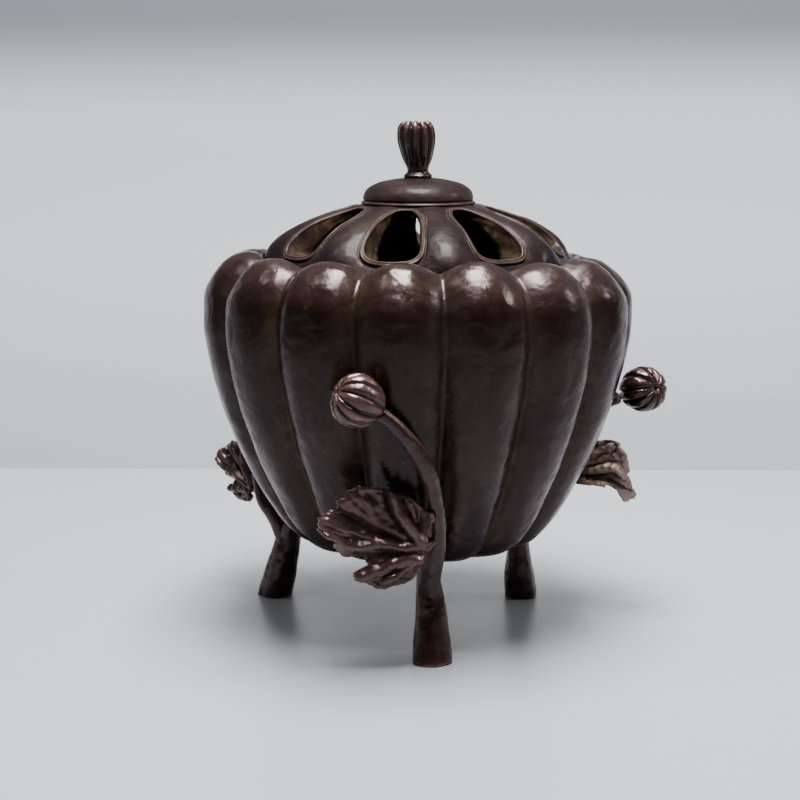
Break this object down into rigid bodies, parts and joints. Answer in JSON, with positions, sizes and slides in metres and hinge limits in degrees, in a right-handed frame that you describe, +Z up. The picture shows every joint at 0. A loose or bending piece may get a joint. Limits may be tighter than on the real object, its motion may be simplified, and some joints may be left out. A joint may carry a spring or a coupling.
{
  "type": "tripod incense burner",
  "caption": "Lobed bronze incense burner on branch feet with leaves and buds, under a pierced domed lid with a bud knob that lifts off and turns.",
  "frame": {"origin": "centre of the object's bounding box, on the ground the feet stand on; the bowl's axis is 4.9 mm towards -X and 3.8 mm towards +Y of it", "axes": "+Z up along the bowl's axis; -Y is the front, the side with one foot"},
  "size_m": [0.1267, 0.1204, 0.1336],
  "materials": {
    "bowl_bronze": "dark brown patinated bronze, waxed, semi-gloss",
    "lid_bronze": "dark brown patinated bronze, waxed, semi-gloss",
    "branch_bronze": "reddish brown patinated bronze with rubbed edges",
    "leaf_bronze": "reddish brown patinated bronze, olive in the hollows",
    "bare_bronze": "dull ochre-brown bronze, smoke stained"
  },
  "bodies": {
    "bowl_body": {"bowl": "bowl_bronze", "leg_front": "branch_bronze", "stem_front": "branch_bronze", "bud_front": "branch_bronze", "leaf_front": "leaf_bronze", "leg_rivet_front": "bare_bronze", "rivet_washer_front": "bare_bronze", "leg_right": "branch_bronze", "stem_right": "branch_bronze", "bud_right": "branch_bronze", "leaf_right": "leaf_bronze", "leg_rivet_right": "bare_bronze", "rivet_washer_right": "bare_bronze", "leg_left": "branch_bronze", "stem_left": "branch_bronze", "bud_left": "branch_bronze", "leaf_left": "leaf_bronze", "leg_rivet_left": "bare_bronze", "rivet_washer_left": "bare_bronze"},
    "lid_ring_body": {"lid_locating_ring": "bare_bronze"},
    "lid_body": {"lid_shell": "lid_bronze", "lid_boss": "lid_bronze", "lid_knob": "branch_bronze", "knob_stud": "bare_bronze", "stud_washer": "bare_bronze"}
  },
  "joints": [
    {"name": "lid_lift", "type": "slide", "parent": "bowl_body", "child": "lid_ring_body", "axis": [0, 0, 1], "range_m": [0, 0.06]},
    {"name": "lid_turn", "type": "hinge", "parent": "lid_ring_body", "child": "lid_body", "pos_m": [-0.0049, 0.0038, 0.095], "axis": [0, 0, 1], "continuous": true}
  ]
}
